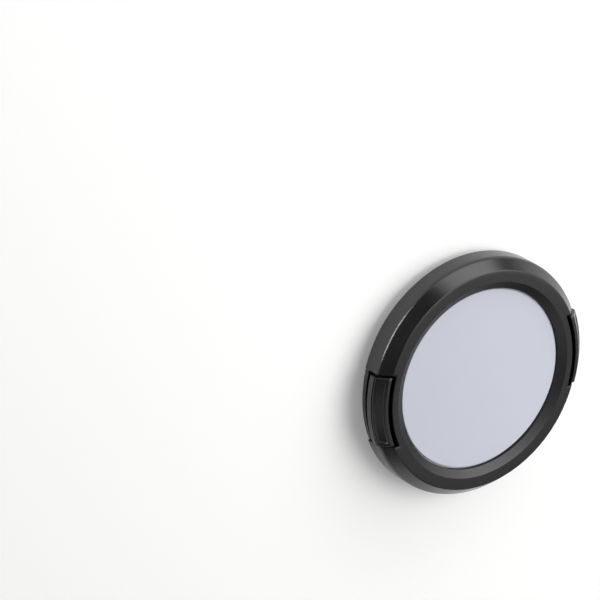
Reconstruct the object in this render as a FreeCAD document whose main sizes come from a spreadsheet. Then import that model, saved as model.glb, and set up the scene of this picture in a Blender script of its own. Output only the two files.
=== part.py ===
import FreeCAD, Part
import math
import os
import re

import Sketcher

# Clip-on white balance lens cap for a 58 mm filter thread, lying on its back.
# +Z is the front, +X points to the right button, and z = 0 is the rear edge of the pilot ring.

SIZES = {
    # Lens interface: outer radius and pitch of the filter thread, and the ring that enters it.
    "thread_radius": 29.0,
    "thread_pitch": 0.75,
    "pilot_clearance": 0.65,
    "pilot_wall": 1.75,
    "pilot_height": 2.6,
    # Bezel section, from the skirt over the chamfer and the land to the window.
    "flange_overhang": 1.8,
    "skirt_height": 4.85,
    "skirt_wall": 1.85,
    "chamfer_width": 2.45,
    "chamfer_height": 3.0,
    "land_width": 2.95,
    "bevel_width": 1.95,
    "lip_edge": 0.5,
    "roof_thickness": 2.2,
    "collar_wall": 1.0,
    "flange_edge_round": 0.6,
    "seat_edge_chamfer": 0.3,
    # Diffuser disc, whose raised middle stands in the window with a narrow gap round it.
    "disc_setback": 1.6,
    "disc_thickness": 1.8,
    "disc_overlap": 1.07,
    "disc_clearance": 0.1,
    "window_gap": 0.38,
    "disc_step": 0.5,
    # Rear ring.
    "floor_thickness": 1.2,
    "opening_step": 1.08,
    "support_wall": 1.85,
    "outer_wall": 1.65,
    "ring_clearance": 0.15,
    "shelf_setback": 0.45,
    # Spring hooks of the rear ring and the groove in the skirt that they click into.
    "hook_width": 5.0,
    "hook_reach": 0.3,
    "hook_rise": 1.6,
    "hook_land": 0.3,
    "hook_ramp": 0.9,
    "hook_clearance": 0.1,
    "slit_width": 0.6,
    # Button slots and the pads in them.
    "slot_half_width": 9.6,
    "slot_bite": 1.3,
    "slot_end_gap": 0.2,
    "slot_side_gap": 0.5,
    "travel": 0.85,
    "pad_proud": 0.4,
    "pad_drop": 0.15,
    "pad_top_width": 0.9,
    "pad_edge_rise": 0.45,
    "pad_floor_gap": 1.7,
    "grip_line_depth": 0.45,
    "grip_line_height": 0.4,
    "grip_line_drop": 0.2,
    "pad_edge_round": 0.2,
    "panel_border": 0.45,
    "panel_end_border": 0.95,
    "panel_depth": 0.2,
    # Sliding carriage and claw of each button.
    "slide_clearance": 0.2,
    "stop_clearance": 0.15,
    "wing_half_span": 14.4,
    "wing_tip_depth": 1.4,
    "wing_step": 10.0,
    "claw_half_width": 6.7,
    "claw_wall": 1.75,
    "claw_lift": 0.35,
    "claw_entry_gap": 0.1,
    "rib_margin": 0.45,
    "rib_base": 0.56,
    "rib_crest": 0.16,
    "rib_clearance": 0.05,
    # Coil springs, with their pegs on the carriage.
    "spring_inset": 2.2,
    "spring_length": 3.2,
    "spring_wire": 0.3,
    "spring_seat_gap": 0.03,
    "spring_side_gap": 0.35,
    "peg_gap": 0.25,
    "peg_length": 0.9,
}

SPRING_TURNS = 3.5
COIL_STEPS_PER_TURN = 10
WIRE_SIDES = 6
MITRED_CORNERS = 1
HOOK_COUNT = 4
BUTTON_COUNT = 2
HALF_TURN = 180
# Part turns are swept wider than the button and then trimmed to parallel ends.
BUTTON_SWEEP = 120
# Cutting outlines run this far past the solid that they trim.
CUT_MARGIN = 5

# Radii that follow from the driving sizes.
pilot_radius = "(thread_radius - pilot_clearance)"
pilot_inner = f"({pilot_radius} - pilot_wall)"
flange_radius = "(thread_radius + flange_overhang)"
skirt_radius = f"({flange_radius} - skirt_wall)"
land_radius = f"({flange_radius} - chamfer_width)"
crest_radius = f"({land_radius} - land_width)"
window_radius = f"({crest_radius} - bevel_width)"
slot_radius = f"({land_radius} - slot_bite)"
disc_radius = f"({window_radius} + disc_overlap)"
middle_radius = f"({window_radius} - window_gap)"
recess_radius = f"({disc_radius} + disc_clearance)"
collar_radius = f"({recess_radius} + collar_wall)"
opening_radius = f"({window_radius} - opening_step)"
support_radius = f"({opening_radius} + support_wall)"
ring_radius = f"({skirt_radius} - ring_clearance)"
outer_wall_radius = f"({ring_radius} - outer_wall)"
shelf_radius = f"({flange_radius} - shelf_setback)"
hook_radius = f"({skirt_radius} + hook_reach)"
groove_radius = f"(sqrt({hook_radius} ^ 2 + (hook_width / 2) ^ 2) + hook_clearance)"
pad_inner = f"({slot_radius} + travel + slot_end_gap)"
pad_outer = f"({flange_radius} + pad_proud)"
stop_radius = f"({skirt_radius} - stop_clearance)"
claw_inner = f"({pilot_radius} - claw_wall)"
rib_radius = "(thread_radius - rib_clearance)"
far = f"({flange_radius} + {CUT_MARGIN})"

# Heights that follow from the driving sizes.
seat_z = "pilot_height"
chamfer_z = f"({seat_z} + skirt_height)"
front_z = f"({chamfer_z} + chamfer_height)"
roof_z = f"({front_z} - roof_thickness)"
disc_front_z = f"({front_z} - disc_setback)"
disc_rim_z = f"({disc_front_z} - disc_step)"
disc_back_z = f"({disc_front_z} - disc_thickness)"
lip_z = f"({disc_front_z} + lip_edge)"
floor_z = f"({seat_z} + floor_thickness)"
hook_z = f"({seat_z} + hook_rise)"
hook_top_z = f"({hook_z} + hook_land + hook_ramp)"
carriage_low_z = f"({floor_z} + slide_clearance)"
carriage_top_z = f"({disc_back_z} - slide_clearance)"
pad_low_z = f"({floor_z} + pad_floor_gap)"
pad_top_z = f"({front_z} - pad_drop)"
pad_edge_z = f"({chamfer_z} + pad_edge_rise)"
channel_mid_z = f"(({floor_z} + {disc_back_z}) / 2)"

# Places of the sliding faces along X, on the right button.
wing_face = f"(sqrt({stop_radius} ^ 2 - wing_half_span ^ 2) - wing_tip_depth)"
bay_mid_face = f"({support_radius} + slide_clearance)"
carriage_face = f"({bay_mid_face} + travel + slide_clearance)"
bay_wing_face = f"({wing_face} - travel - slide_clearance)"
bay_half_span = "(wing_half_span + slide_clearance)"
bay_step = "(wing_step - slide_clearance)"
window_face = f"(sqrt({claw_inner} ^ 2 - claw_half_width ^ 2) - travel - slide_clearance)"
window_far_face = f"({rib_radius} + claw_entry_gap)"
window_half_width = "(claw_half_width + slide_clearance)"
shelf_half_width = "(slot_half_width - slide_clearance)"
pad_half_width = "(slot_half_width - slot_side_gap)"

# Spring section, sized to the height of the channel that it lies in.
spring_outer = f"({disc_back_z} - {floor_z} - 2 * spring_side_gap)"
spring_mean_radius = f"(({spring_outer} - spring_wire) / 2)"
spring_seat_face = f"({wing_face} - spring_length)"
spring_offset = "(wing_half_span - spring_inset)"
spring_pocket_half = f"({spring_outer} / 2 + spring_side_gap)"
peg_radius = f"({spring_mean_radius} - spring_wire / 2 - peg_gap)"

doc = FreeCAD.newDocument("lens_cap")
dims = doc.addObject("Spreadsheet::Sheet", "dims")
for row, (alias, number) in enumerate(SIZES.items(), start=1):
    dims.set(f"A{row}", alias)
    dims.set(f"B{row}", str(number))
    dims.setAlias(f"B{row}", alias)
doc.recompute()


def bound(text):
    """Expression in which each size's name is read from the sheet."""
    return re.sub(r"[a-z_]+", lambda word: f"dims.{word[0]}" if word[0] in SIZES else word[0], text)


def origin_part(body, role):
    """Origin plane or axis of a body, by its role."""
    return next(item for item in body.Origin.OriginFeatures if item.Role == role)


def new_sketch(body, name, plane, level=None, turn=None):
    """Sketch on one of the body's own planes, lifted to a level or turned about the cap's axis."""
    sketch = body.newObject("Sketcher::SketchObject", name)
    sketch.AttachmentSupport = [(origin_part(body, plane), "")]
    sketch.MapMode = "FlatFace"
    if turn is not None:
        cap_axis = FreeCAD.Vector(0, 1, 0) if plane == "XZ_Plane" else FreeCAD.Vector(0, 0, 1)
        sketch.AttachmentOffset = FreeCAD.Placement(FreeCAD.Vector(), FreeCAD.Rotation(cap_axis, turn))
    if level is not None:
        sketch.setExpression("AttachmentOffset.Base.z", bound(level))
    return sketch


def hold_point(sketch, edge, end, name, across, up):
    """Two bound distances from the sketch's origin hold one end of an edge."""
    for kind, letter, text, axis in (("DistanceX", "x", across, -2), ("DistanceY", "y", up, -1)):
        if text == "0":
            sketch.addConstraint(Sketcher.Constraint("PointOnObject", edge, end, axis))
            continue
        place = sketch.getPoint(edge, end)
        index = sketch.addConstraint(Sketcher.Constraint(kind, -1, 1, edge, end, getattr(place, letter)))
        sketch.renameConstraint(index, f"{name}_{letter}")
        sketch.setExpression(f"Constraints.{name}_{letter}", bound(text))


def add_outline(sketch, corners):
    """Closed outline of straight edges through named corners, each given as (name, across, up)."""
    count = len(corners)
    first = sketch.GeometryCount
    start_radius = 10
    angles = [2 * math.pi * step / count for step in range(count)]
    starts = [
        FreeCAD.Vector(start_radius * (2 + math.cos(angle)), start_radius * (2 + math.sin(angle)), 0)
        for angle in angles
    ]
    for step in range(count):
        sketch.addGeometry(Part.LineSegment(starts[step], starts[(step + 1) % count]), False)
    for step in range(count):
        following = first + (step + 1) % count
        sketch.addConstraint(Sketcher.Constraint("Coincident", first + step, 2, following, 1))
    for step, (name, across, up) in enumerate(corners):
        hold_point(sketch, first + step, 1, name, across, up)


def add_rectangle(sketch, name, left, right, low, high):
    """Rectangle between two places across and two places up."""
    add_outline(
        sketch,
        [
            (f"{name}_left_low", left, low),
            (f"{name}_right_low", right, low),
            (f"{name}_right_high", right, high),
            (f"{name}_left_high", left, high),
        ],
    )


def add_circle(sketch, name, across, up, radius):
    """Circle with a bound centre and radius."""
    start = Part.Circle(FreeCAD.Vector(1, 1, 0), FreeCAD.Vector(0, 0, 1), 1)
    circle = sketch.addGeometry(start, False)
    hold_point(sketch, circle, 3, name, across, up)
    index = sketch.addConstraint(Sketcher.Constraint("Radius", circle, 1))
    sketch.renameConstraint(index, f"{name}_radius")
    sketch.setExpression(f"Constraints.{name}_radius", bound(radius))


def revolve(body, name, sketch, sweep=None):
    """Turned solid about the cap's axis: a whole turn, or a part turn centred on +X."""
    feature = body.newObject("PartDesign::Revolution", name)
    feature.Profile = sketch
    feature.ReferenceAxis = (origin_part(body, "Z_Axis"), [""])
    if sweep is not None:
        feature.Angle = sweep
        feature.Midplane = True
    doc.recompute()
    return feature


def pocket_up(body, name, sketch, depth):
    """Cut from the sketch's level upwards."""
    feature = body.newObject("PartDesign::Pocket", name)
    feature.Profile = sketch
    feature.Reversed = True
    feature.setExpression("Length", bound(depth))
    doc.recompute()
    return feature


def polar(body, name, originals, count):
    """Copies of features spread evenly about the cap's axis."""
    pattern = body.newObject("PartDesign::PolarPattern", name)
    pattern.Originals = originals
    pattern.Axis = (origin_part(body, "Z_Axis"), [""])
    pattern.Angle = 360
    pattern.Occurrences = count
    body.Tip = pattern
    doc.recompute()
    return pattern


def dress_ring_edges(body, kind, name, sketch, corner, size_name, size):
    """Fillet or chamfer along the ring edges that a profile's corner leaves on the body."""
    base = body.Tip
    across = sketch.getDatum(f"{corner}_x").Value
    up = sketch.getDatum(f"{corner}_y").Value
    tolerance = 1e-4
    edges = []
    for number, edge in enumerate(base.Shape.Edges, start=1):
        if not isinstance(edge.Curve, Part.Circle):
            continue
        if abs(edge.Curve.Radius - across) < tolerance and abs(edge.Curve.Center.z - up) < tolerance:
            edges.append(f"Edge{number}")
    dressing = body.newObject(kind, name)
    dressing.Base = (base, edges)
    dressing.setExpression(size_name, bound(size))
    doc.recompute()
    return dressing


def round_ring_edges(body, name, sketch, corner, radius):
    """Fillet along a profile corner's ring edges."""
    return dress_ring_edges(body, "PartDesign::Fillet", name, sketch, corner, "Radius", radius)


def chamfer_ring_edges(body, name, sketch, corner, width):
    """Equal chamfer along a profile corner's ring edges."""
    return dress_ring_edges(body, "PartDesign::Chamfer", name, sketch, corner, "Size", width)


def make_bezel():
    """Front ring: window bevel, flat land, chamfer and skirt, slotted for the two pads."""
    body = doc.addObject("PartDesign::Body", "bezel")

    shell = new_sketch(body, "shell_section", "XZ_Plane")
    add_outline(
        shell,
        [
            ("slot_front", slot_radius, front_z),
            ("land_edge", land_radius, front_z),
            ("flange_edge", flange_radius, chamfer_z),
            ("seat_edge", flange_radius, seat_z),
            ("skirt_foot", skirt_radius, seat_z),
            ("groove_low_in", skirt_radius, f"{hook_z} - hook_clearance"),
            ("groove_low_out", groove_radius, f"{hook_z} - hook_clearance"),
            ("groove_top_out", groove_radius, f"{hook_top_z} + hook_clearance"),
            ("groove_top_in", skirt_radius, f"{hook_top_z} + hook_clearance"),
            ("roof_corner", skirt_radius, roof_z),
            ("roof_root", slot_radius, roof_z),
        ],
    )
    revolve(body, "shell", shell)

    slots = new_sketch(body, "slot_outline", "XY_Plane")
    add_rectangle(slots, "slot", f"-{far}", far, "-slot_half_width", "slot_half_width")
    pocket_up(body, "button_slots", slots, f"{front_z} + {CUT_MARGIN}")

    rim = new_sketch(body, "rim_section", "XZ_Plane")
    add_outline(
        rim,
        [
            ("slot_front", slot_radius, front_z),
            ("crest", crest_radius, front_z),
            ("lip_top", window_radius, lip_z),
            ("lip_foot", window_radius, disc_rim_z),
            ("recess_top", recess_radius, disc_rim_z),
            ("recess_foot", recess_radius, disc_back_z),
            ("collar_foot", collar_radius, disc_back_z),
            ("collar_root", collar_radius, roof_z),
            ("slot_roof", slot_radius, roof_z),
        ],
    )
    revolve(body, "window_rim", rim)

    round_ring_edges(body, "flange_edge_fillet", shell, "flange_edge", "flange_edge_round")
    chamfer_ring_edges(body, "seat_edge_chamfer", shell, "seat_edge", "seat_edge_chamfer")
    return body


def make_disc():
    """Opal plate with a raised middle, held by its rim behind the bezel's lip."""
    body = doc.addObject("PartDesign::Body", "diffuser_disc")
    section = new_sketch(body, "disc_section", "XZ_Plane")
    add_outline(
        section,
        [
            ("middle_back", "0", disc_back_z),
            ("rim_back", disc_radius, disc_back_z),
            ("rim_front", disc_radius, disc_rim_z),
            ("step_foot", middle_radius, disc_rim_z),
            ("step_front", middle_radius, disc_front_z),
            ("middle_front", "0", disc_front_z),
        ],
    )
    revolve(body, "plate", section)
    return body


def make_rear_ring():
    """Retainer with the pilot ring, the button bays, the spring pockets and the spring hooks."""
    body = doc.addObject("PartDesign::Body", "rear_ring")

    shelf = new_sketch(body, "shelf_section", "XZ_Plane")
    add_rectangle(shelf, "shelf", pilot_inner, shelf_radius, seat_z, floor_z)
    revolve(body, "shelf_band", shelf)
    trim = new_sketch(body, "shelf_trim", "XY_Plane")
    add_rectangle(trim, "upper", f"-{far}", far, shelf_half_width, far)
    add_rectangle(trim, "lower", f"-{far}", far, f"-{far}", f"-{shelf_half_width}")
    pocket_up(body, "shelf_ends", trim, f"{front_z} + {CUT_MARGIN}")

    ring = new_sketch(body, "ring_section", "XZ_Plane")
    add_outline(
        ring,
        [
            ("opening_top", opening_radius, disc_back_z),
            ("support_top", support_radius, disc_back_z),
            ("support_foot", support_radius, floor_z),
            ("wall_foot", outer_wall_radius, floor_z),
            ("wall_top_in", outer_wall_radius, roof_z),
            ("wall_top_out", ring_radius, roof_z),
            ("wall_seat", ring_radius, seat_z),
            ("pilot_root_out", pilot_radius, seat_z),
            ("pilot_edge", pilot_radius, "0"),
            ("pilot_edge_in", pilot_inner, "0"),
            ("pilot_root_in", pilot_inner, seat_z),
            ("opening_foot", opening_radius, seat_z),
        ],
    )
    revolve(body, "ring", ring)

    barb = new_sketch(body, "hook_section", "XZ_Plane", turn=45)
    add_outline(
        barb,
        [
            ("barb_root_low", f"{ring_radius} - outer_wall / 2", hook_z),
            ("barb_tip_low", hook_radius, hook_z),
            ("barb_tip_high", hook_radius, f"{hook_z} + hook_land"),
            ("barb_ramp_top", ring_radius, hook_top_z),
            ("barb_root_high", f"{ring_radius} - outer_wall / 2", hook_top_z),
        ],
    )
    hook = body.newObject("PartDesign::Pad", "hook_barb")
    hook.Profile = barb
    hook.SideType = "Symmetric"
    hook.setExpression("Length", bound("hook_width"))
    doc.recompute()
    slits = new_sketch(body, "slit_outline", "XY_Plane", level=floor_z, turn=45)
    for name, near, away in (
        ("left", "hook_width / 2", "hook_width / 2 + slit_width"),
        ("right", "-hook_width / 2 - slit_width", "-hook_width / 2"),
    ):
        add_rectangle(slits, name, f"{outer_wall_radius} - outer_wall / 2", far, near, away)
    slit_cut = pocket_up(body, "hook_slits", slits, f"{roof_z} - {floor_z} + {CUT_MARGIN}")
    polar(body, "ring_hooks", [hook, slit_cut], HOOK_COUNT)

    bay = new_sketch(body, "bay_outline", "XY_Plane", level=floor_z)
    add_outline(
        bay,
        [
            ("mid_low", bay_mid_face, f"-{bay_step}"),
            ("step_low", bay_wing_face, f"-{bay_step}"),
            ("end_low", bay_wing_face, f"-{bay_half_span}"),
            ("far_low", far, f"-{bay_half_span}"),
            ("far_high", far, bay_half_span),
            ("end_high", bay_wing_face, bay_half_span),
            ("step_high", bay_wing_face, bay_step),
            ("mid_high", bay_mid_face, bay_step),
        ],
    )
    bay_cut = pocket_up(body, "button_bay", bay, f"{roof_z} - {floor_z} + {CUT_MARGIN}")
    window = new_sketch(body, "window_outline", "XY_Plane")
    add_rectangle(
        window, "window", window_face, window_far_face, f"-{window_half_width}", window_half_width
    )
    window_cut = pocket_up(body, "claw_window", window, f"{floor_z} + {CUT_MARGIN}")
    seats = new_sketch(body, "spring_seat_outline", "XY_Plane", level=floor_z)
    for name, side in (("upper", ""), ("lower", "-")):
        middle = f"{side}{spring_offset}"
        low = f"{middle} - {spring_pocket_half}"
        high = f"{middle} + {spring_pocket_half}"
        add_rectangle(seats, name, spring_seat_face, f"{bay_wing_face} + slide_clearance", low, high)
    seat_cut = pocket_up(body, "spring_seats", seats, f"{disc_back_z} - {floor_z} + {CUT_MARGIN}")
    polar(body, "button_places", [bay_cut, window_cut, seat_cut], BUTTON_COUNT)
    return body


def make_button_moulding():
    """Finger pad, sliding carriage with spring pegs, and claw with thread ribs, as one moulding."""
    body = doc.addObject("PartDesign::Body", "button_moulding")

    pad = new_sketch(body, "pad_section", "XZ_Plane")
    line_top = f"({pad_edge_z} - grip_line_drop)"
    line_low = f"({line_top} - grip_line_height)"
    line_root = f"({pad_outer} - grip_line_depth)"
    add_outline(
        pad,
        [
            ("pad_foot_in", pad_inner, pad_low_z),
            ("pad_foot_out", pad_outer, pad_low_z),
            ("line_low_out", pad_outer, line_low),
            ("line_low_in", line_root, line_low),
            ("line_top_in", line_root, line_top),
            ("line_top_out", pad_outer, line_top),
            ("pad_edge", pad_outer, pad_edge_z),
            ("pad_shoulder", f"{pad_inner} + pad_top_width", pad_top_z),
            ("pad_top_in", pad_inner, pad_top_z),
        ],
    )
    revolve(body, "pad", pad, BUTTON_SWEEP)
    ends = new_sketch(body, "pad_trim", "XY_Plane")
    add_rectangle(ends, "upper", "0", far, pad_half_width, far)
    add_rectangle(ends, "lower", "0", far, f"-{far}", f"-{pad_half_width}")
    pocket_up(body, "pad_ends", ends, f"{front_z} + {CUT_MARGIN}")
    round_ring_edges(body, "pad_edge_fillet", pad, "pad_edge", "pad_edge_round")
    round_ring_edges(body, "pad_shoulder_fillet", pad, "pad_shoulder", "pad_edge_round")

    carriage = new_sketch(body, "carriage_section", "XZ_Plane")
    add_rectangle(carriage, "plate", opening_radius, stop_radius, carriage_low_z, carriage_top_z)
    revolve(body, "carriage", carriage, BUTTON_SWEEP)
    outline = new_sketch(body, "carriage_trim", "XY_Plane")
    add_outline(
        outline,
        [
            ("far_low_in", "0", f"-{far}"),
            ("far_low", far, f"-{far}"),
            ("end_low", far, "-wing_half_span"),
            ("tip_low", wing_face, "-wing_half_span"),
            ("step_low", wing_face, "-wing_step"),
            ("mid_low", carriage_face, "-wing_step"),
            ("mid_high", carriage_face, "wing_step"),
            ("step_high", wing_face, "wing_step"),
            ("tip_high", wing_face, "wing_half_span"),
            ("end_high", far, "wing_half_span"),
            ("far_high", far, far),
            ("far_high_in", "0", far),
        ],
    )
    pocket_up(body, "carriage_outline", outline, f"{front_z} + {CUT_MARGIN}")

    pegs = new_sketch(body, "peg_outline", "YZ_Plane", level=wing_face)
    add_circle(pegs, "upper", spring_offset, channel_mid_z, peg_radius)
    add_circle(pegs, "lower", f"-{spring_offset}", channel_mid_z, peg_radius)
    peg = body.newObject("PartDesign::Pad", "spring_pegs")
    peg.Profile = pegs
    peg.Reversed = True
    peg.setExpression("Length", bound("peg_length"))
    doc.recompute()

    claw = new_sketch(body, "claw_section", "XZ_Plane")
    corners = [
        ("claw_root_in", claw_inner, carriage_low_z),
        ("claw_foot_in", claw_inner, "claw_lift"),
        ("claw_foot_out", pilot_radius, "claw_lift"),
    ]
    for number in range(2):
        middle = f"(claw_lift + rib_margin + {number} * thread_pitch)"
        corners += [
            (f"rib_{number}_base_low", pilot_radius, f"{middle} - rib_base / 2"),
            (f"rib_{number}_crest_low", rib_radius, f"{middle} - rib_crest / 2"),
            (f"rib_{number}_crest_high", rib_radius, f"{middle} + rib_crest / 2"),
            (f"rib_{number}_base_high", pilot_radius, f"{middle} + rib_base / 2"),
        ]
    corners.append(("claw_root_out", pilot_radius, carriage_low_z))
    add_outline(claw, corners)
    revolve(body, "claw", claw, BUTTON_SWEEP)
    claw_ends = new_sketch(body, "claw_trim", "XY_Plane")
    add_rectangle(claw_ends, "upper", "0", far, "claw_half_width", far)
    add_rectangle(claw_ends, "lower", "0", far, f"-{far}", "-claw_half_width")
    pocket_up(body, "claw_ends", claw_ends, carriage_low_z)
    return body


def make_panel_cutter():
    """Shallow inset in the pad's sloping front, with parallel ends."""
    body = doc.addObject("PartDesign::Body", "panel_cutter")
    section = new_sketch(body, "panel_section", "XZ_Plane")
    shoulder = f"({pad_inner} + pad_top_width)"
    slope = f"(({pad_top_z} - {pad_edge_z}) / ({pad_outer} - {shoulder}))"
    low_radius = f"({pad_outer} - panel_border)"
    high_radius = f"({shoulder} + panel_border)"
    low_z = f"({pad_edge_z} + panel_border * {slope})"
    high_z = f"({pad_top_z} - panel_border * {slope})"
    add_outline(
        section,
        [
            ("low_cut", low_radius, f"{low_z} - panel_depth"),
            ("low_clear", low_radius, f"{low_z} + {CUT_MARGIN}"),
            ("high_clear", high_radius, f"{high_z} + {CUT_MARGIN}"),
            ("high_cut", high_radius, f"{high_z} - panel_depth"),
        ],
    )
    revolve(body, "panel_band", section, BUTTON_SWEEP)
    panel_half = f"({pad_half_width} - panel_end_border)"
    ends = new_sketch(body, "panel_trim", "XY_Plane")
    add_rectangle(ends, "upper", "0", far, panel_half, far)
    add_rectangle(ends, "lower", "0", far, f"-{far}", f"-{panel_half}")
    pocket_up(body, "panel_ends", ends, f"{front_z} + 2 * {CUT_MARGIN}")
    return body


def make_button(label, moulding, cutter, turn):
    """One of the two equal buttons, turned to its side of the cap."""
    button = doc.addObject("Part::Cut", label)
    button.Base = moulding
    button.Tool = cutter
    button.Placement = FreeCAD.Placement(
        FreeCAD.Vector(), FreeCAD.Rotation(FreeCAD.Vector(0, 0, 1), turn)
    )
    return button


def coil_shape():
    """Wire swept along a helix about Z, in short straight steps, between its two seats."""
    sizes = doc.addObject("App::VarSet", "coil_sizes")
    for name, text in (
        ("mean_radius", spring_mean_radius),
        ("wire_radius", "spring_wire / 2"),
        ("low", "spring_seat_gap + spring_wire / 2"),
        ("high", "spring_length - spring_seat_gap - spring_wire / 2"),
    ):
        sizes.addProperty("App::PropertyFloat", name)
        sizes.setExpression(name, bound(text))
    doc.recompute()
    steps = round(SPRING_TURNS * COIL_STEPS_PER_TURN)
    points = []
    for step in range(steps + 1):
        turn = FreeCAD.Rotation(FreeCAD.Vector(0, 0, 1), 360 * step / COIL_STEPS_PER_TURN)
        height = sizes.low + (sizes.high - sizes.low) * step / steps
        points.append(turn.multVec(FreeCAD.Vector(sizes.mean_radius, 0, height)))
    section = []
    for side in range(WIRE_SIDES + 1):
        turn = FreeCAD.Rotation(FreeCAD.Vector(0, 1, 0), 360 * side / WIRE_SIDES)
        section.append(points[0] + turn.multVec(FreeCAD.Vector(sizes.wire_radius, 0, 0)))
    path = Part.makePolygon(points)
    return path.makePipeShell([Part.makePolygon(section)], True, False, MITRED_CORNERS)


def make_spring(label, coil, side, row):
    """Coil spring along X between a seat of the rear ring and a wing of the carriage."""
    spring = doc.addObject("Part::Feature", label)
    spring.Shape = coil
    # The coil's own axis is laid along +X on the right side and along -X on the left.
    spring.Placement = FreeCAD.Placement(
        FreeCAD.Vector(), FreeCAD.Rotation(FreeCAD.Vector(0, 1, 0), 90 * side)
    )
    spring.setExpression("Placement.Base.x", bound(f"{side} * {spring_seat_face}"))
    spring.setExpression("Placement.Base.y", bound(f"{row} * {spring_offset}"))
    spring.setExpression("Placement.Base.z", bound(channel_mid_z))
    return spring


sub_parts = [make_bezel(), make_disc(), make_rear_ring()]
button_moulding = make_button_moulding()
panel_cutter = make_panel_cutter()
sub_parts.append(make_button("right_button", button_moulding, panel_cutter, 0))
sub_parts.append(make_button("left_button", button_moulding, panel_cutter, HALF_TURN))
coil = coil_shape()
for side_name, side in (("right", 1), ("left", -1)):
    for row_name, row in (("upper", 1), ("lower", -1)):
        sub_parts.append(make_spring(f"{side_name}_spring_{row_name}", coil, side, row))
doc.recompute()

for item in doc.Objects:
    if "Invalid" in item.State or "Error" in item.State:
        raise RuntimeError(f"{item.Name} did not build: {item.State}")
    if item.TypeId == "PartDesign::Pocket" and item.Shape.Volume >= item.BaseFeature.Shape.Volume:
        raise RuntimeError(f"{item.Name} cuts nothing")
for sub_part in sub_parts:
    if sub_part.Shape.isNull() or not sub_part.Shape.isValid() or len(sub_part.Shape.Solids) != 1:
        raise RuntimeError(f"{sub_part.Label} is not one valid solid")

os.makedirs("parts", exist_ok=True)
for sub_part in sub_parts:
    sub_part.Shape.exportStep(f"parts/{sub_part.Label}.step")
    print(f"{sub_part.Label}: {sub_part.Shape.Volume:.1f} mm3")
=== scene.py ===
import bmesh
import bpy
import numpy as np
from mathutils import Matrix, Vector


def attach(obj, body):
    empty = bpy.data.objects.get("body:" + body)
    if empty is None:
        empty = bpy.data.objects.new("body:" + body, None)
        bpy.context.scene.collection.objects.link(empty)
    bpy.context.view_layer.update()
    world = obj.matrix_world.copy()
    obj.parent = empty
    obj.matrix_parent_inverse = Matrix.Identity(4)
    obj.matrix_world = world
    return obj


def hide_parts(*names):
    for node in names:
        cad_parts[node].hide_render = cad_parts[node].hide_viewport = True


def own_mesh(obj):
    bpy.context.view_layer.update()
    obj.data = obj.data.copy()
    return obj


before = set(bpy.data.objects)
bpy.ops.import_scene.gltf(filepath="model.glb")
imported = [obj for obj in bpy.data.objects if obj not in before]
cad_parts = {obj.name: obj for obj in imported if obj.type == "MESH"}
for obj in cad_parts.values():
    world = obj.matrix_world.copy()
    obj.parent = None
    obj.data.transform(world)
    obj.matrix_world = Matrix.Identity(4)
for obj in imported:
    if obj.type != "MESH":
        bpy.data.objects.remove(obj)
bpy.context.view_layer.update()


# Bezel: the front ring, one moulding in black ABS with a finely spark-eroded surface.
# It carries everything else: the disc lies behind its inner lip, the buttons slide in its
# two slots, and the rear ring clicks into a groove inside its skirt.

# Sizes are in millimetres, and a mesh is made in metres.
MM = 0.001
WELD = 1e-6
SHARP_ANGLE = 40
ARC_POINTS = 7

FRONT_Z = 10.45
BEVEL_FOOT_Z = 9.35
LIP_Z = 8.35
ROOF_Z = 8.25
FLANGE_EDGE_Z = 7.45
RECESS_Z = 7.05
GROOVE_TOP_Z = 5.5
GROOVE_LOW_Z = 4.1
SKIRT_Z = 2.6
WINDOW_RADIUS = 23.45
RECESS_RADIUS = 24.62
BEVEL_RADIUS = 25.4
RIM_RADIUS = 25.62
SLOT_RADIUS = 27.05
LAND_RADIUS = 28.35
SKIRT_BORE = 28.95
GROOVE_RADIUS = 29.457
FLANGE_RADIUS = 30.8
SLOT_HALF = 9.6
SLOT_EDGE_ROUND = 0.18
SLOT_ROUND_GROWTH = 12
OUTER_EDGE_BREAK = 0.2
INNER_EDGE_BREAK = 0.06
STRIP_INSIDE = 0.04
STRIP_OUTSIDE = 0.3


def rounded_chain(corners, radii):
    """Open outline through corners, each inner corner replaced by an arc of its own radius.

    The arc touches both sides at radius / tan(half the corner's angle) from the corner, and its
    points are the two touching radii mixed by the sines of their shares of the turn.
    """
    corners = np.asarray(corners, float)
    radii = np.asarray(radii, float)[:, None]
    before = corners[:-2] - corners[1:-1]
    after = corners[2:] - corners[1:-1]
    before /= np.linalg.norm(before, axis=1, keepdims=True)
    after /= np.linalg.norm(after, axis=1, keepdims=True)
    half = np.arccos(np.sum(before * after, axis=1, keepdims=True)) / 2
    middle = before + after
    middle /= np.linalg.norm(middle, axis=1, keepdims=True)
    centre = corners[1:-1] + middle * radii / np.sin(half)
    first = corners[1:-1] + before * radii / np.tan(half) - centre
    last = corners[1:-1] + after * radii / np.tan(half) - centre
    turn = (np.pi - 2 * half)[:, None]
    share = np.linspace(0, 1, ARC_POINTS)[None, :, None]
    arcs = np.sin((1 - share) * turn) * first[:, None] + np.sin(share * turn) * last[:, None]
    arcs = arcs / np.sin(turn) + centre[:, None]
    return np.concatenate([corners[:1], arcs.reshape(-1, 2), corners[-1:]])


def turned(radius, height, azimuth):
    """Points carried round the cap's axis: x = r cos a, y = r sin a, z = h."""
    x = radius * np.cos(azimuth)
    y = radius * np.sin(azimuth)
    return np.stack(np.broadcast_arrays(x, y, height), axis=-1)


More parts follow.
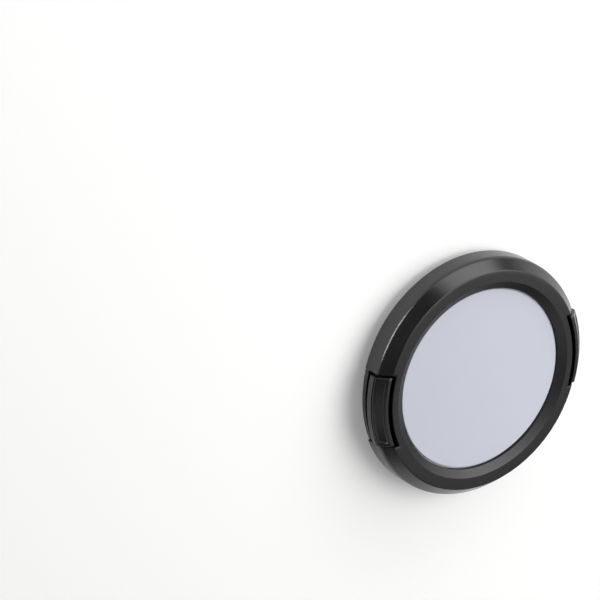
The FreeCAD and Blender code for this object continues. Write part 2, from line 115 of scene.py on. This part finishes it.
def drawn_in(section, reach, steps=5):
    """Closed section close to an end, drawn in along its normals as on a quarter circle.

    At turn t the points of a clockwise section have moved in by reach (1 - cos t), and they lie
    reach (1 - sin t) before the end. The reach is one number, or a column with one for each point.
    """
    reach = np.broadcast_to(reach, (len(section), 1))
    along = np.gradient(np.concatenate([section[-2:-1], section, section[1:2]]), axis=0)[1:-1]
    along /= np.linalg.norm(along, axis=1, keepdims=True)
    outward = np.stack([-along[:, 1], along[:, 0]], axis=1)
    turn = np.linspace(0, np.pi / 2, steps)[None, :]
    inset = reach * (1 - np.cos(turn))
    return section[:, None] - outward[:, None] * inset[..., None], reach * (1 - np.sin(turn))


def build_piece(name, surfaces, outlines, material, body, stands_for):
    """Piece from grids of points and flat end outlines in mm, welded where their edges meet."""
    points = []
    faces = []
    count = 0
    for grid in surfaces:
        rows, columns = grid.shape[:2]
        index = count + np.arange(rows * columns).reshape(rows, columns)
        quads = np.stack([index[:-1, :-1], index[1:, :-1], index[1:, 1:], index[:-1, 1:]], axis=-1)
        faces += quads.reshape(-1, 4).tolist()
        points.append(grid.reshape(-1, 3))
        count += rows * columns
    for outline in outlines:
        faces.append(list(range(count, count + len(outline))))
        points.append(outline)
        count += len(outline)
    mesh = bpy.data.meshes.new(name)
    mesh.from_pydata((np.concatenate(points) * MM).tolist(), [], faces)
    work = bmesh.new()
    work.from_mesh(mesh)
    bmesh.ops.remove_doubles(work, verts=work.verts, dist=WELD)
    bmesh.ops.recalc_face_normals(work, faces=work.faces)
    work.to_mesh(mesh)
    work.free()
    mesh.shade_smooth()
    mesh.set_sharp_from_angle(angle=np.radians(SHARP_ANGLE))
    mesh.materials.append(material)
    piece = bpy.data.objects.new(name, mesh)
    bpy.context.scene.collection.objects.link(piece)
    flat_faces = piece.modifiers.new("flat_faces_stay_flat", "WEIGHTED_NORMAL")
    flat_faces.keep_sharp = True
    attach(piece, body)
    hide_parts(stands_for)
    return piece


def srgb(code):
    """Linear colour with alpha from an sRGB hex code."""
    share = np.array([int(code[at:at + 2], 16) for at in (1, 3, 5)]) / 255
    linear = np.where(share <= 0.04045, share / 12.92, ((share + 0.055) / 1.055) ** 2.4)
    return (*linear.tolist(), 1.0)


def add_node(tree, kind, inputs=None, **settings):
    """One node with its settings; an input is a value, or another node's output to link."""
    node = tree.nodes.new(kind)
    for key, value in settings.items():
        setattr(node, key, value)
    for key, value in (inputs or {}).items():
        if isinstance(value, bpy.types.NodeSocket):
            tree.links.new(value, node.inputs[key])
        else:
            node.inputs[key].default_value = value
    return node


# Black ABS out of a spark-eroded mould: a satin black that shows a soft broad highlight.
# The real grain is about 0.05 mm; it is drawn at 0.25 mm so that it shows. The tone drifts over
# about 6 mm with the flow in the mould.
ABS_GRAIN = 0.25
ABS_GRAIN_DEPTH = 0.028
ABS_FLOW = 6
BEVEL_EXTRA_ROUGHNESS = 0.17
black_abs = bpy.data.materials.new("black_abs_spark_eroded")
black_abs.use_nodes = True
tree = black_abs.node_tree
surface = tree.nodes["Principled BSDF"]
place = add_node(tree, "ShaderNodeTexCoord").outputs["Object"]
grain = add_node(
    tree, "ShaderNodeTexNoise", {"Vector": place, "Scale": 1 / (ABS_GRAIN * MM), "Detail": 2.0}
)
flow = add_node(
    tree, "ShaderNodeTexNoise", {"Vector": place, "Scale": 1 / (ABS_FLOW * MM), "Detail": 3.0}
)
tone = add_node(tree, "ShaderNodeMix", {"Factor": flow.outputs["Fac"]}, data_type="RGBA")
tone.inputs["A"].default_value = srgb("#141415")
tone.inputs["B"].default_value = srgb("#1C1C1E")
satin = add_node(
    tree,
    "ShaderNodeMapRange",
    {"Value": grain.outputs["Fac"], "From Min": 0.3, "From Max": 0.7, "To Min": 0.16, "To Max": 0.24},
)
# Within the edge of the window, on the bevel and what lies behind it, the mould is eroded more
# coarsely, so that the bevel shows less glare from the disc.
flat_place = add_node(
    tree, "ShaderNodeVectorMath", {0: place, 1: (1.0, 1.0, 0.0)}, operation="MULTIPLY"
)
from_axis = add_node(
    tree, "ShaderNodeVectorMath", {0: flat_place.outputs["Vector"]}, operation="LENGTH"
)
bevel_matt = add_node(
    tree,
    "ShaderNodeMapRange",
    {
        "Value": from_axis.outputs["Value"],
        "From Min": (BEVEL_RADIUS - 0.2) * MM,
        "From Max": (BEVEL_RADIUS + 0.1) * MM,
        "To Min": BEVEL_EXTRA_ROUGHNESS,
        "To Max": 0.0,
    },
)
roughness = add_node(
    tree,
    "ShaderNodeMath",
    {0: satin.outputs["Result"], 1: bevel_matt.outputs["Result"]},
    operation="ADD",
)
relief = add_node(
    tree,
    "ShaderNodeBump",
    {"Height": grain.outputs["Fac"], "Strength": 0.8, "Distance": ABS_GRAIN_DEPTH * MM},
)
tree.links.new(tone.outputs["Result"], surface.inputs["Base Color"])
tree.links.new(roughness.outputs["Value"], surface.inputs["Roughness"])
tree.links.new(relief.outputs["Normal"], surface.inputs["Normal"])
surface.inputs["IOR"].default_value = 1.53

# The section in radius and height, as two chains that meet on the flat land at the slots' radius:
# the rim from its roof round the disc's recess, the lip and the bevel, and the shell from the land
# over the chamfer and the skirt to the roof again.
rim = rounded_chain(
    [
        (SLOT_RADIUS, ROOF_Z),
        (RIM_RADIUS, ROOF_Z),
        (RIM_RADIUS, RECESS_Z),
        (RECESS_RADIUS, RECESS_Z),
        (RECESS_RADIUS, LIP_Z),
        (WINDOW_RADIUS, LIP_Z),
        (WINDOW_RADIUS, BEVEL_FOOT_Z),
        (BEVEL_RADIUS, FRONT_Z),
        (SLOT_RADIUS, FRONT_Z),
    ],
    [0.1, 0.1, 0.1, 0.1, 0.08, 0.1, 0.18],
)
shell = rounded_chain(
    [
        (SLOT_RADIUS, FRONT_Z),
        (LAND_RADIUS, FRONT_Z),
        (FLANGE_RADIUS, FLANGE_EDGE_Z),
        (FLANGE_RADIUS, SKIRT_Z),
        (SKIRT_BORE, SKIRT_Z),
        (SKIRT_BORE, GROOVE_LOW_Z),
        (GROOVE_RADIUS, GROOVE_LOW_Z),
        (GROOVE_RADIUS, GROOVE_TOP_Z),
        (SKIRT_BORE, GROOVE_TOP_Z),
        (SKIRT_BORE, ROOF_Z),
        (SLOT_RADIUS, ROOF_Z),
    ],
    [0.4, 1.8, 0.3, 0.15, 0.08, 0.08, 0.08, 0.08, 0.2],
)
# Close rows on both sides of the slot's radius keep the flat land flat beside the slot's corners.
rim = np.insert(rim, -1, (SLOT_RADIUS - STRIP_INSIDE, FRONT_Z), axis=0)
shell = np.insert(shell, 1, (SLOT_RADIUS + STRIP_OUTSIDE, FRONT_Z), axis=0)
# Outside the slots the ring runs between the slots' parallel ends: a = arcsin(half width / r).
# The edges at those ends are broken on the outer faces, which end after three arcs of the shell,
# and by less inside.
ring_section = np.concatenate([rim, shell[1:]])
corner = len(rim) - 1
inside = corner + 2 + 3 * ARC_POINTS
reach = np.zeros((len(ring_section), 1))
reach[corner + 1:inside] = OUTER_EDGE_BREAK
reach[inside:-1] = INNER_EDGE_BREAK
edge, short = drawn_in(ring_section, reach)
edge_turn = np.arcsin((SLOT_HALF + short) / np.maximum(edge[..., 0], SLOT_RADIUS))
share_round = np.linspace(0, 1, 181)[None, 1:-1]
middle_turn = edge_turn[:, :1] + share_round * (np.pi - 2 * edge_turn[:, :1])
ring_turn = np.concatenate([edge_turn[:, ::-1], middle_turn, np.pi - edge_turn], axis=1)
middle_section = np.repeat(ring_section[:, None], share_round.size, axis=1)
ring_grid = np.concatenate([edge[:, ::-1], middle_section, edge], axis=1)
# Across a slot the rim ends in a wall, whose top edge is rounded off between the slot's corners.
# The round grows from nothing at the corners to its full size close to them.
share_across = np.linspace(-1, 1, 61)[None, :]
slot_turn = np.arcsin(SLOT_HALF / SLOT_RADIUS) * share_across
slot_round = SLOT_EDGE_ROUND * np.clip(SLOT_ROUND_GROWTH * (1 - share_across ** 2), 0, 1)
bend = np.linspace(np.pi / 2, 0, ARC_POINTS)[:, None]
rim_rows = np.repeat(rim[:-2, None], slot_turn.size, axis=1)
land_row = np.stack(
    [SLOT_RADIUS - STRIP_INSIDE - slot_round, np.full_like(slot_round, FRONT_Z)], axis=-1
)
bend_rows = np.stack(
    [SLOT_RADIUS - slot_round * (1 - np.cos(bend)), FRONT_Z - slot_round * (1 - np.sin(bend))],
    axis=-1,
)
wall_foot = np.broadcast_to((SLOT_RADIUS, ROOF_Z), (1, slot_turn.size, 2))
slot_grid = np.concatenate([rim_rows, land_row, bend_rows, wall_foot])
bezel_surfaces = []
bezel_ends = []
for half_turn in (0, np.pi):
    arc = turned(ring_grid[..., 0], ring_grid[..., 1], half_turn + ring_turn)
    bezel_surfaces += [arc, turned(slot_grid[..., 0], slot_grid[..., 1], half_turn + slot_turn)]
    bezel_ends += [arc[corner:, 0], arc[corner:, -1]]
build_piece("bezel_ring", bezel_surfaces, bezel_ends, black_abs, "cap", "bezel")


# Diffuser disc: a round plate moulded in matt white translucent acrylic, with a raised middle.
# It drops into the recess behind the bezel's lip, where the rear ring holds it by its rim, and its
# middle stands in the window with a narrow gap round it.

DISC_RADIUS = 24.52
DISC_MIDDLE_RADIUS = 23.07
DISC_MIDDLE_Z = 8.85

# Opal acrylic lets light scatter inside, so it looks evenly pale with a soft, wide sheen.
# The matt face has a grain of about 0.03 mm, drawn at 0.15 mm so that it shows, and its tone drifts
# over about 14 mm.
OPAL_GRAIN = 0.15
OPAL_GRAIN_DEPTH = 0.01
OPAL_CLOUD = 14
OPAL_SCATTER = 1.0
white_opal = bpy.data.materials.new("white_opal_acrylic")
white_opal.use_nodes = True
tree = white_opal.node_tree
surface = tree.nodes["Principled BSDF"]
place = add_node(tree, "ShaderNodeTexCoord").outputs["Object"]
grain = add_node(
    tree, "ShaderNodeTexNoise", {"Vector": place, "Scale": 1 / (OPAL_GRAIN * MM), "Detail": 1.0}
)
cloud = add_node(
    tree, "ShaderNodeTexNoise", {"Vector": place, "Scale": 1 / (OPAL_CLOUD * MM), "Detail": 2.0}
)
tone = add_node(tree, "ShaderNodeMix", {"Factor": cloud.outputs["Fac"]}, data_type="RGBA")
tone.inputs["A"].default_value = srgb("#CED1DD")
tone.inputs["B"].default_value = srgb("#D1D4DF")
relief = add_node(
    tree,
    "ShaderNodeBump",
    {"Height": grain.outputs["Fac"], "Strength": 0.12, "Distance": OPAL_GRAIN_DEPTH * MM},
)
tree.links.new(tone.outputs["Result"], surface.inputs["Base Color"])
tree.links.new(relief.outputs["Normal"], surface.inputs["Normal"])
surface.inputs["Roughness"].default_value = 0.55
surface.inputs["IOR"].default_value = 1.49
surface.inputs["Subsurface Weight"].default_value = 0.25
surface.inputs["Subsurface Radius"].default_value = (1.0, 1.0, 1.0)
surface.inputs["Subsurface Scale"].default_value = OPAL_SCATTER * MM

disc_section = rounded_chain(
    [
        (0, RECESS_Z),
        (DISC_RADIUS, RECESS_Z),
        (DISC_RADIUS, LIP_Z),
        (DISC_MIDDLE_RADIUS, LIP_Z),
        (DISC_MIDDLE_RADIUS, DISC_MIDDLE_Z),
        (0, DISC_MIDDLE_Z),
    ],
    [0.2, 0.2, 0.08, 0.1],
)
whole_turn = np.linspace(0, 2 * np.pi, 193)[None, :]
disc_plate = turned(disc_section[:, :1], disc_section[:, 1:], whole_turn)
build_piece("opal_disc", [disc_plate], [], white_opal, "cap", "diffuser_disc")


# Springs: four small compression springs coiled from drawn spring steel wire.
# Each sits in a pocket of the rear ring over a peg of its button, and pushes the button outwards.

COIL_RADIUS = 1.125
WIRE_RADIUS = 0.15
COIL_TURNS = 3.5
COIL_LENGTH = 3.2
SEAT_X = 20.34
SEAT_GAP = 0.03
SPRING_Y = 12.2
SPRING_Z = 5.425

# Drawn wire keeps fine marks from the die and a grey, half bright surface.
# The real marks are about 0.02 mm wide; they are drawn at 0.08 mm so that they show.
WIRE_MARK = 0.08
spring_steel = bpy.data.materials.new("drawn_spring_steel")
spring_steel.use_nodes = True
tree = spring_steel.node_tree
surface = tree.nodes["Principled BSDF"]
place = add_node(tree, "ShaderNodeTexCoord").outputs["Object"]
marks = add_node(
    tree, "ShaderNodeTexNoise", {"Vector": place, "Scale": 1 / (WIRE_MARK * MM), "Detail": 2.0}
)
dull = add_node(
    tree,
    "ShaderNodeMapRange",
    {"Value": marks.outputs["Fac"], "From Min": 0.3, "From Max": 0.7, "To Min": 0.24, "To Max": 0.4},
)
tree.links.new(dull.outputs["Result"], surface.inputs["Roughness"])
surface.inputs["Base Color"].default_value = srgb("#A9A8A5")
surface.inputs["Metallic"].default_value = 1.0


def coil(side, row):
    """Wire ring carried along a helix about X: x rises evenly with the turn, y and z go round."""
    turn = np.linspace(0, 2 * np.pi * COIL_TURNS, 211)[:, None]
    low = SEAT_GAP + WIRE_RADIUS
    rise = COIL_LENGTH - 2 * low
    x = side * (SEAT_X + low + rise * turn / turn[-1])
    outward = np.concatenate([0 * turn, np.cos(turn), np.sin(turn)], axis=1)
    axis = np.concatenate([x, 0 * turn + row * SPRING_Y, 0 * turn + SPRING_Z], axis=1)
    path = axis + COIL_RADIUS * outward
    along = np.gradient(path, axis=0)
    along /= np.linalg.norm(along, axis=1, keepdims=True)
    sideways = np.cross(along, outward)
    about = np.linspace(0, 2 * np.pi, 17)[None, :, None]
    ring = np.cos(about) * outward[:, None] + np.sin(about) * sideways[:, None]
    return path[:, None] + WIRE_RADIUS * ring


for side_name, side in (("right", 1), ("left", -1)):
    for row_name, row in (("upper", 1), ("lower", -1)):
        wire = coil(side, row)
        spring = build_piece(
            f"{side_name}_coil_{row_name}",
            [wire],
            [wire[0, :-1], wire[-1, :-1]],
            spring_steel,
            "cap",
            f"{side_name}_spring_{row_name}",
        )
        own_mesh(spring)


# Buttons: two equal black ABS mouldings, each a finger pad, a sliding carriage and a threaded claw.
# They lie between the disc and the rear ring's floor, free to slide inwards by 0.85 mm against
# their springs, which takes the ribs of the claws out of the thread that holds the cap.

PAD_HALF = 9.1
PAD_TOP = 10.3
PAD_EDGE_Z = 7.9
PAD_FOOT_Z = 5.5
PAD_INNER = 28.1
PAD_SHOULDER = 29.0
PAD_MIDDLE = 29.6
PAD_OUTER = 31.2
PAD_FRONT_ROUND = 0.2
PAD_BACK_ROUND = 0.1
GRIP_RADIUS = 30.75
GRIP_TOP_Z = 7.7
GRIP_LOW_Z = 7.3
PANEL_BORDER = 0.6
PANEL_HALF = 8.15
PANEL_FLAT_HALF = 7.8
PANEL_DEPTH = 0.14
PANEL_FADE = 0.14
WING_HALF = 14.4
WING_X = 23.541
WING_TIP_X = 24.942
WING_ROUND = 0.3
STEP_HALF = 10.0
STEP_X = 25.47
STOP_RADIUS = 28.8
CARRIAGE_LOW_Z = 4.0
CARRIAGE_TOP_Z = 6.85
CARRIAGE_EDGE = 0.12
CARRIAGE_STATIONS_Z = (4.5, 6.3)
PEG_RADIUS = 0.725
PEG_TIP_X = 22.641
PEG_ROOT_X = 24.2
PEG_EDGE = 0.15
PEG_STATIONS_X = (23.0, 24.0)
CLAW_HALF = 6.7
CLAW_FLAT_HALF = 6.6
CLAW_TOP_Z = 4.5
CLAW_LOW_Z = 0.35
CLAW_INNER = 26.6
CLAW_MIDDLE = 27.5
CLAW_OUTER = 28.35
CLAW_EDGE = 0.05
RIB_RADIUS = 28.95
RIB_Z = 1.55
RIB_PITCH = 0.75
RIB_CREST_HALF = 0.08
RIB_FOOT_HALF = 0.28


def barred(section, reach, low, high, stations):
    """Section carried straight from low to high over stations, with both of its ends drawn in.

    Gives the section's two coordinates and the distance along, each as points by stations.
    """
    edge, short = drawn_in(section, reach)
    middle = np.repeat(section[:, None], len(stations), axis=1)
    level = np.broadcast_to(stations, middle.shape[:2])
    grid = np.concatenate([edge[:, ::-1], middle, edge], axis=1)
    distance = np.concatenate([low + short[:, ::-1], level, high - short], axis=1)
    return grid[..., 0], grid[..., 1], distance


def faded(distance):
    """Smooth step over the fade of the panel's border: 3 s^2 - 2 s^3."""
    share = np.clip(distance / PANEL_FADE, 0, 1)
    return share * share * (3 - 2 * share)


# Finger pad: a section carried across the slot about the cap's axis, x = sqrt(r^2 - y^2).
# It has a grip line along its edge.
pad_section = rounded_chain(
    [
        (PAD_MIDDLE, PAD_FOOT_Z),
        (PAD_INNER, PAD_FOOT_Z),
        (PAD_INNER, PAD_TOP),
        (PAD_SHOULDER, PAD_TOP),
        (PAD_OUTER, PAD_EDGE_Z),
        (PAD_OUTER, GRIP_TOP_Z),
        (GRIP_RADIUS, GRIP_TOP_Z),
        (GRIP_RADIUS, GRIP_LOW_Z),
        (PAD_OUTER, GRIP_LOW_Z),
        (PAD_OUTER, PAD_FOOT_Z),
        (PAD_MIDDLE, PAD_FOOT_Z),
    ],
    [0.12, 0.15, 0.3, 0.3, 0.06, 0.04, 0.04, 0.06, 0.3],
)
# The framed panel on the slope is pressed in square to it, by a depth that fades out at its border,
# and the slope gets extra rows and stations there. The slope follows the section's third arc.
slope_run = np.array([PAD_OUTER - PAD_SHOULDER, PAD_EDGE_Z - PAD_TOP])
slope_length = np.linalg.norm(slope_run)
fade_steps = PANEL_FADE * np.linspace(0, 1, 6)
panel_end = slope_length - PANEL_BORDER
border_rows = np.concatenate([PANEL_BORDER + fade_steps, panel_end - fade_steps[::-1]])
slope_start = 1 + 3 * ARC_POINTS
slope_end = slope_start + len(border_rows)
slope_rows = (PAD_SHOULDER, PAD_TOP) + slope_run * border_rows[:, None] / slope_length
pad_section = np.insert(pad_section, slope_start, slope_rows, axis=0)
pad_reach = np.full((len(pad_section), 1), PAD_BACK_ROUND)
pad_reach[1 + ARC_POINTS:slope_end] = PAD_FRONT_ROUND
end_steps = PANEL_HALF - fade_steps
flat_steps = np.linspace(-PANEL_FLAT_HALF, PANEL_FLAT_HALF, 53)
stations = np.concatenate([-end_steps, flat_steps, end_steps[::-1]])
radius, height, across = barred(pad_section, pad_reach, -PAD_HALF, PAD_HALF, stations)
down_slope = np.zeros((len(pad_section), 1))
down_slope[slope_start:slope_end, 0] = border_rows
pressed = faded(down_slope - PANEL_BORDER) * faded(panel_end - down_slope)
pressed = PANEL_DEPTH * pressed * faded(PANEL_HALF - np.abs(across))
radius = radius + pressed * slope_run[1] / slope_length
height = height - pressed * slope_run[0] / slope_length
pad = np.stack([np.sqrt(radius ** 2 - across ** 2), across, height], axis=-1)

# Sliding carriage: a flat plate with an arc outside and a stepped edge inside, and two spring pegs.
# Its plan is carried up Z, and the round section of a peg along X.
tip = np.arcsin(WING_HALF / STOP_RADIUS)
arc_turn = np.linspace(tip, -tip, 41)[1:-1]
stop_arc = STOP_RADIUS * np.stack([np.cos(arc_turn), np.sin(arc_turn)], axis=1)
inner_corners = [
    (WING_TIP_X, -WING_HALF),
    (WING_X, -WING_HALF),
    (WING_X, -STEP_HALF),
    (STEP_X, -STEP_HALF),
    (STEP_X, STEP_HALF),
    (WING_X, STEP_HALF),
    (WING_X, WING_HALF),
    (WING_TIP_X, WING_HALF),
]
inner_edge = rounded_chain(inner_corners, [WING_ROUND] * (len(inner_corners) - 2))
plan = np.concatenate([inner_edge, stop_arc, inner_edge[:1]])
stations = np.array(CARRIAGE_STATIONS_Z)
carriage = np.stack(barred(plan, CARRIAGE_EDGE, CARRIAGE_LOW_Z, CARRIAGE_TOP_Z, stations), axis=-1)
peg_turn = np.linspace(0, -2 * np.pi, 41)
peg_ring = PEG_RADIUS * np.stack([np.cos(peg_turn), np.sin(peg_turn)], axis=1)
stations = np.array(PEG_STATIONS_X)
pegs = []
for row in (1, -1):
    peg_section = peg_ring + (row * SPRING_Y, SPRING_Z)
    peg_y, peg_z, peg_x = barred(peg_section, PEG_EDGE, PEG_TIP_X, PEG_ROOT_X, stations)
    pegs.append(np.stack([peg_x, peg_y, peg_z], axis=-1))

# Claw: a short piece of ring under the carriage, with two ribs at the thread's pitch, carried across
# about the cap's axis like the pad.
rib_corners = [
    (rib_radius, RIB_Z - step * RIB_PITCH + rib_height)
    for step in (0, 1)
    for rib_radius, rib_height in (
        (CLAW_OUTER, RIB_FOOT_HALF),
        (RIB_RADIUS, RIB_CREST_HALF),
        (RIB_RADIUS, -RIB_CREST_HALF),
        (CLAW_OUTER, -RIB_FOOT_HALF),
    )
]
claw_section = rounded_chain(
    [
        (CLAW_MIDDLE, CLAW_TOP_Z),
        (CLAW_OUTER, CLAW_TOP_Z),
        *rib_corners,
        (CLAW_OUTER, CLAW_LOW_Z),
        (CLAW_INNER, CLAW_LOW_Z),
        (CLAW_INNER, CLAW_TOP_Z),
        (CLAW_MIDDLE, CLAW_TOP_Z),
    ],
    [CLAW_EDGE] * 10 + [0.15, CLAW_EDGE],
)
stations = np.linspace(-CLAW_FLAT_HALF, CLAW_FLAT_HALF, 31)
radius, height, across = barred(claw_section, CLAW_EDGE, -CLAW_HALF, CLAW_HALF, stations)
claw = np.stack([np.sqrt(radius ** 2 - across ** 2), across, height], axis=-1)

for side_name, side in (("right", 1), ("left", -1)):
    shapes = [shape * (side, side, 1) for shape in (pad, carriage, *pegs, claw)]
    button_ends = [shape[:-1, last] for shape in shapes for last in (0, -1)]
    build_piece(
        f"{side_name}_pinch_button",
        shapes,
        button_ends,
        black_abs,
        f"{side_name}_pinch",
        f"{side_name}_button",
    )


# Rear ring: the retainer, moulded in the same black ABS with the pilot ring that centres the cap.
# It holds the disc and the buttons in the bezel, with four hooks that click into the skirt's groove.
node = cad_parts["rear_ring"]
node.data.materials.clear()
node.data.materials.append(black_abs)


# Studio: a pale plain floor under the cap, and soft lamps round it.
# The key is a wide one high on the right with a brighter middle; one beside it draws the chamfer and
# the wall, one low on the left draws the flange's edge, and the rest fill.

# The studio's sizes are in metres.
FLOOR_HALF = 3.0
LAMP_DISTANCE = 0.6

# White paper, which lies flat and has hardly any sheen. Seen directly, in gloss or through glass it
# glows a little on top of the lamps' light, and more further out, where that light falls off.
pale_paper = bpy.data.materials.new("pale_paper")
pale_paper.use_nodes = True
tree = pale_paper.node_tree
surface = tree.nodes["Principled BSDF"]
surface.inputs["Base Color"].default_value = srgb("#F6F6F5")
surface.inputs["Roughness"].default_value = 0.8
surface.inputs["Specular IOR Level"].default_value = 0.1
surface.inputs["Emission Color"].default_value = srgb("#FFFFFF")
rays = add_node(tree, "ShaderNodeLightPath").outputs
direct_or_gloss = add_node(
    tree, "ShaderNodeMath", {0: rays["Is Camera Ray"], 1: rays["Is Glossy Ray"]}, operation="MAXIMUM"
)
seen = add_node(
    tree,
    "ShaderNodeMath",
    {0: direct_or_gloss.outputs["Value"], 1: rays["Is Transmission Ray"]},
    operation="MAXIMUM",
)
place = add_node(tree, "ShaderNodeTexCoord").outputs["Object"]
from_cap = add_node(tree, "ShaderNodeVectorMath", {0: place}, operation="LENGTH")
strength = add_node(
    tree,
    "ShaderNodeMapRange",
    {
        "Value": from_cap.outputs["Value"],
        "From Min": 0.25,
        "From Max": LAMP_DISTANCE,
        "To Min": 0.17,
        "To Max": 0.98,
    },
    interpolation_type="SMOOTHSTEP",
)
glow = add_node(
    tree,
    "ShaderNodeMath",
    {0: strength.outputs["Result"], 1: seen.outputs["Value"]},
    operation="MULTIPLY",
)
tree.links.new(glow.outputs["Value"], surface.inputs["Emission Strength"])

floor_corners = FLOOR_HALF * np.array([(-1, -1, 0), (1, -1, 0), (1, 1, 0), (-1, 1, 0)])
floor_mesh = bpy.data.meshes.new("floor")
floor_mesh.from_pydata(floor_corners.tolist(), [], [(0, 1, 2, 3)])
floor_mesh.materials.append(pale_paper)
floor = bpy.data.objects.new("floor", floor_mesh)
bpy.context.scene.collection.objects.link(floor)

# Each lamp's azimuth and elevation in degrees, width and height in metres, and watts.
for name, azimuth, elevation, width, depth, power in (
    ("key", 24, 49, 0.85, 0.85, 2.8),
    ("key_middle", 32, 50, 0.34, 0.34, 0.65),
    ("side", 68, 18, 0.64, 0.25, 1.3),
    ("low_left", 143, 3.5, 0.5, 0.1, 2.3),
    ("rear_fill", 245, 42, 0.5, 0.4, 0.3),
    ("pad_fill", 208, 26, 0.35, 0.3, 0.08),
    ("front_fill", 319, 56, 0.5, 0.5, 0.3),
    ("top_fill", 50, 77, 0.34, 0.34, 0.5),
):
    lamp = bpy.data.lights.new(name, "AREA")
    lamp.shape = "ELLIPSE"
    lamp.size = width
    lamp.size_y = depth
    lamp.energy = power
    light = bpy.data.objects.new(name, lamp)
    bpy.context.scene.collection.objects.link(light)
    turn, lift = np.radians((azimuth, elevation))
    aim = Vector((np.cos(turn) * np.cos(lift), np.sin(turn) * np.cos(lift), np.sin(lift)))
    light.location = aim * LAMP_DISTANCE
    light.rotation_euler = aim.to_track_quat("Z", "Y").to_euler()
    light.visible_camera = False

# The backdrop is pale along the horizon and dim above.
world = bpy.data.worlds.new("studio")
bpy.context.scene.world = world
world.use_nodes = True
tree = world.node_tree
sky_place = add_node(tree, "ShaderNodeTexCoord").outputs["Generated"]
sky_parts = add_node(tree, "ShaderNodeSeparateXYZ", {"Vector": sky_place})
horizon = add_node(
    tree,
    "ShaderNodeMapRange",
    {"Value": sky_parts.outputs["Z"], "From Min": 0.02, "From Max": 0.1, "To Min": 1.0, "To Max": 0.05},
    interpolation_type="SMOOTHSTEP",
)
tree.links.new(horizon.outputs["Result"], tree.nodes["Background"].inputs["Strength"])
tree.nodes["Background"].inputs["Color"].default_value = srgb("#FFFFFF")


# Viewpoint: the photograph's view of the cap, from about a metre away and turned so that the cap
# lies in the frame as it does there.
camera_data = bpy.data.cameras.new("camera")
camera_data.sensor_width = 36
camera_data.lens = 240
camera = bpy.data.objects.new("camera", camera_data)
bpy.context.scene.collection.objects.link(camera)
stand = Vector((-508.159, 437.390, 707.947)) * MM
forward = Vector((0.49342, -0.43266, -0.75454)).normalized()
right = Vector((0.82611, -0.03834, 0.56221))
right = (right - forward * right.dot(forward)).normalized()
up = right.cross(forward)
camera.matrix_world = Matrix.Translation(stand) @ Matrix((right, up, -forward)).transposed().to_4x4()
bpy.context.scene.camera = camera
bpy.context.scene.view_settings.view_transform = "Standard"
